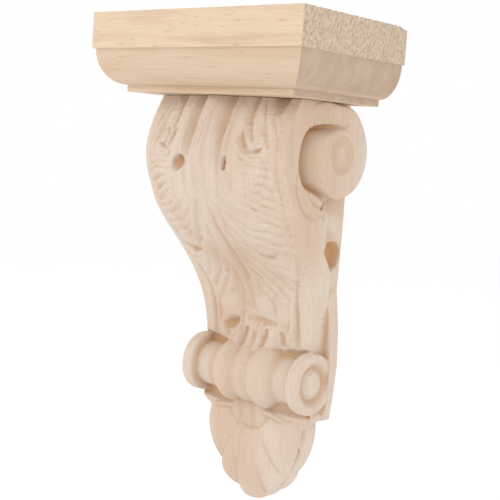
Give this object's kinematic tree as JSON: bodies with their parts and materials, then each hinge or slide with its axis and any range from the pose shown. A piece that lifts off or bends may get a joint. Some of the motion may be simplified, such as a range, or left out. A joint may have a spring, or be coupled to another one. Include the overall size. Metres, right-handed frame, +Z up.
{
  "type": "carved wooden corbel",
  "caption": "Carved wooden wall corbel with moulded cap, leaf-covered scroll front, side volutes and shell pendant, to hold up a shelf, mantel or beam end.",
  "frame": {"origin": "on the flat back of the bracket, on its middle line, 120 mm below the top of the cap", "axes": "+X to the right of someone facing the front, +Y into the wall, +Z up"},
  "size_m": [0.172, 0.106, 0.32],
  "materials": {
    "cap_wood": "unfinished sanded hardwood, a little darker and warmer than the bracket",
    "bracket_wood": "unfinished carved hardwood"
  },
  "bodies": {
    "root": {"cap": "cap_wood", "scroll_bracket": "bracket_wood"}
  },
  "joints": []
}
